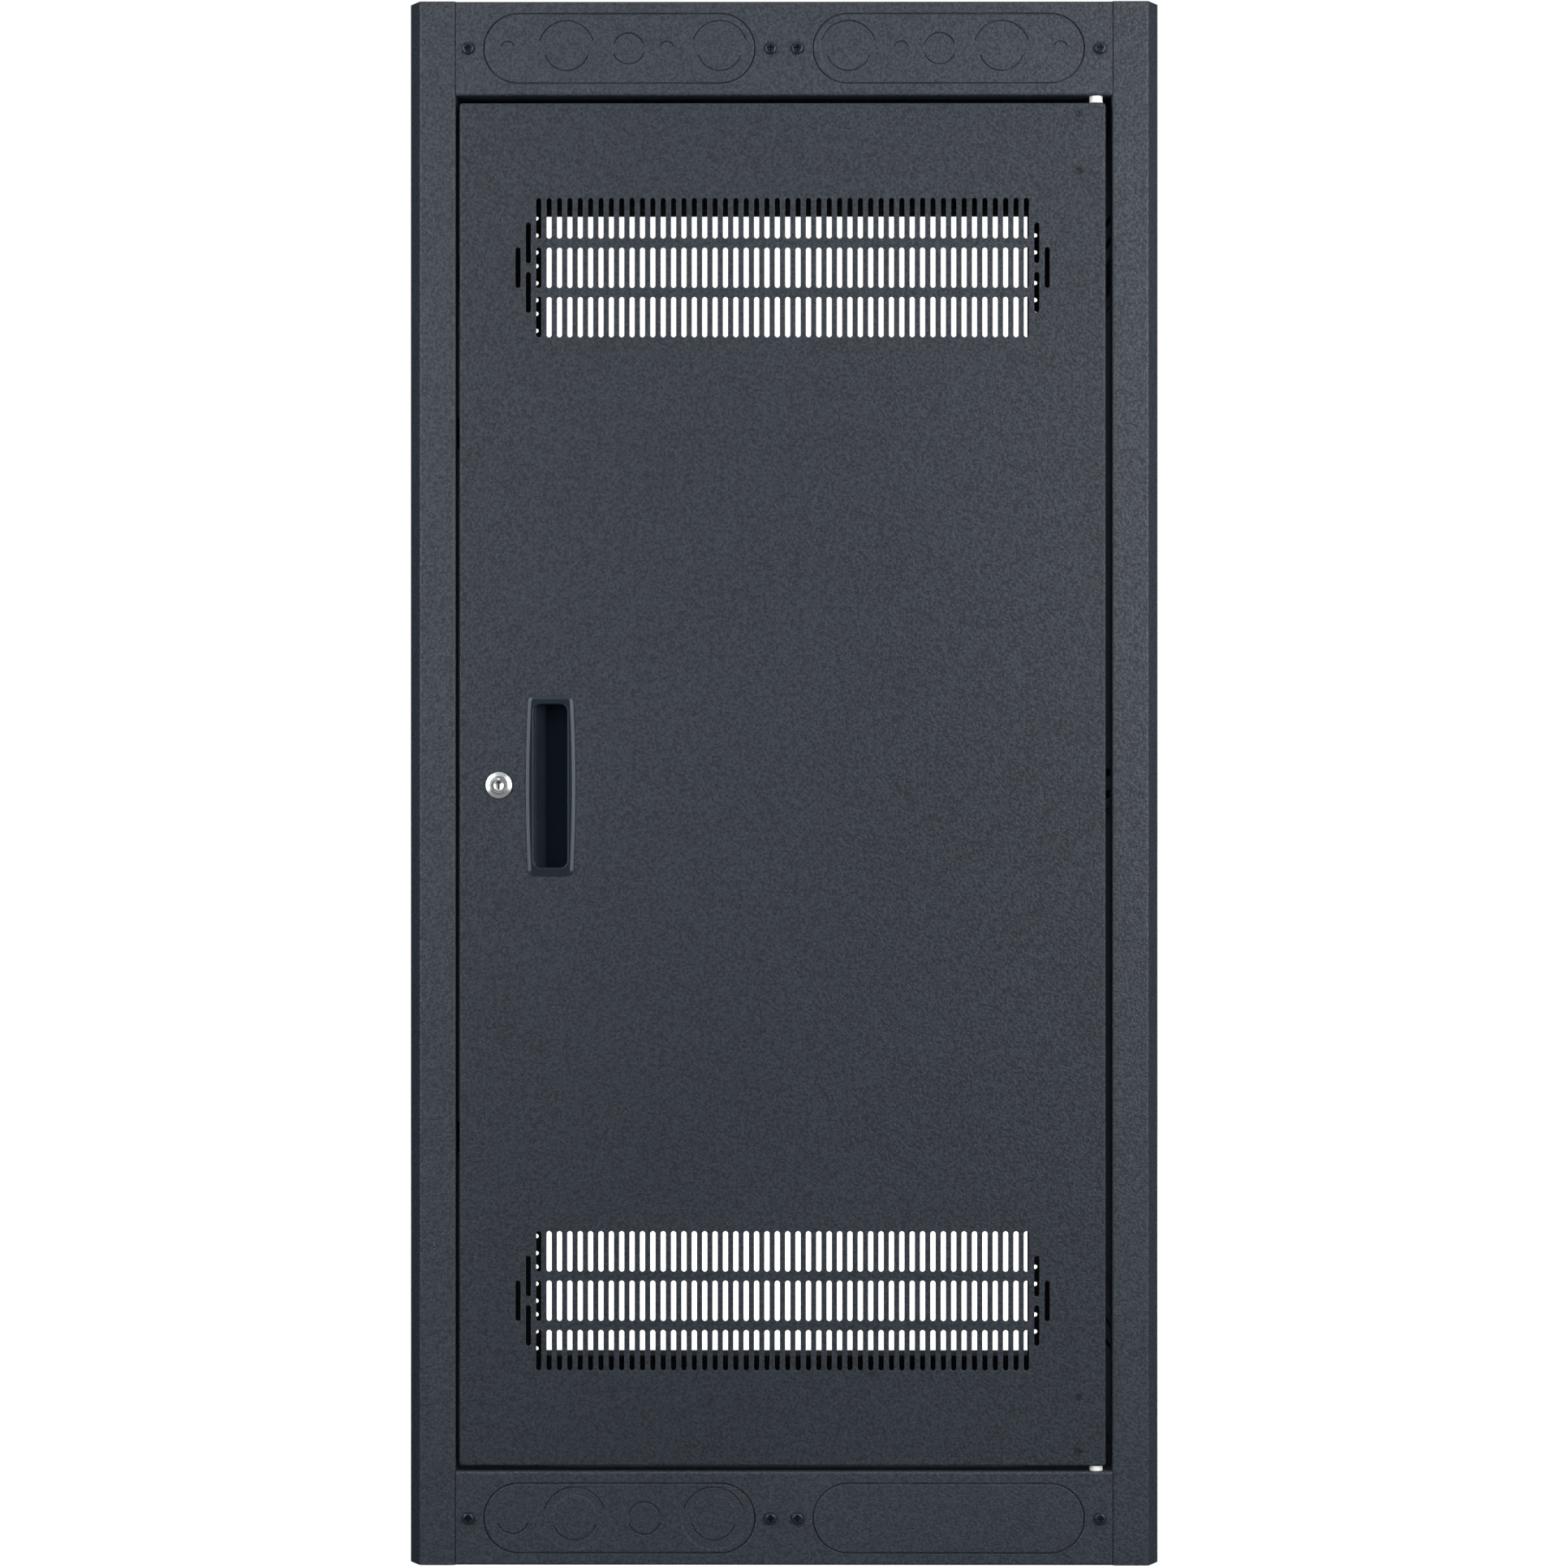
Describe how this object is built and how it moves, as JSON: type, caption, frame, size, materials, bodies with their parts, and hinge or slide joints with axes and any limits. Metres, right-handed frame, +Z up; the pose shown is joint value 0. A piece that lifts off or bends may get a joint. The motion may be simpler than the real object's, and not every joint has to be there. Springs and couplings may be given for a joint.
{
  "type": "equipment rack cabinet",
  "caption": "Floor-standing steel cabinet for rack-mounted network equipment: open tapped-rail front, locking vented rear door, cable plates above and below the door.",
  "frame": {"origin": "on the floor under the middle of the cabinet", "axes": "+Z up, -Y towards the lockable vented rear door, +Y towards the open equipment side, +X towards the door's hinge"},
  "size_m": [0.582, 0.5618, 1.2128],
  "materials": {
    "powder_coat": "fine wrinkle powder coat, satin",
    "rail_coat": "black e-coat, satin",
    "black_screw": "black oxide, semi-gloss",
    "zinc_steel": "zinc plated",
    "spring_wire": "drawn wire",
    "lock_chrome": "polished",
    "nylon": "natural nylon",
    "black_moulding": "satin moulded",
    "bumper_rubber": "matte"
  },
  "bodies": {
    "frame": {"side_left": "powder_coat", "side_right": "powder_coat", "rear_header": "powder_coat", "rear_sill": "powder_coat", "front_header": "powder_coat", "front_sill": "powder_coat", "top_panel": "powder_coat", "base_pan": "powder_coat", "plate_top_left": "powder_coat", "plate_top_right": "powder_coat", "plate_bottom_left": "powder_coat", "plate_bottom_right": "powder_coat", "plate_screws": "black_screw", "plate_nuts": "zinc_steel", "rail_left": "rail_coat", "rail_right": "rail_coat", "rail_bolts": "black_screw", "rail_nuts": "zinc_steel", "hinge_bushing_upper": "nylon", "hinge_bushing_lower": "nylon", "door_stop_lower": "powder_coat", "door_stop_upper": "powder_coat", "door_bumper_lower": "bumper_rubber", "door_bumper_upper": "bumper_rubber", "brace_left_lower": "powder_coat", "brace_left_middle": "powder_coat", "brace_left_upper": "powder_coat", "brace_right_lower": "powder_coat", "brace_right_middle": "powder_coat", "brace_right_upper": "powder_coat"},
    "door": {"door_panel": "powder_coat", "pull_handle": "black_moulding", "lock_housing": "lock_chrome", "lock_nut": "zinc_steel", "hinge_bracket_upper": "powder_coat", "hinge_bracket_lower": "powder_coat", "hinge_pin_lower": "zinc_steel", "hinge_spring": "spring_wire"},
    "hinge_pin": {"hinge_pin_upper": "zinc_steel"},
    "lock_core": {"lock_plug": "lock_chrome", "lock_cam": "zinc_steel", "cam_screw": "zinc_steel"}
  },
  "joints": [
    {"name": "door_hinge", "type": "hinge", "parent": "frame", "child": "door", "pos_m": [0.2424, -0.2729, 0.6056], "axis": [0, 0, 1], "range_deg": [0, 115]},
    {"name": "hinge_pin_slide", "type": "slide", "parent": "door", "child": "hinge_pin", "axis": [0, 0, -1], "range_m": [0, 0.009], "stiffness_N_per_m": 900, "springref_m": -0.008, "deforming": ["hinge_spring"]},
    {"name": "lock_turn", "type": "hinge", "parent": "door", "child": "lock_core", "pos_m": [-0.2211, -0.2794, 0.6049], "axis": [0, 1, 0], "range_deg": [0, 90]}
  ]
}
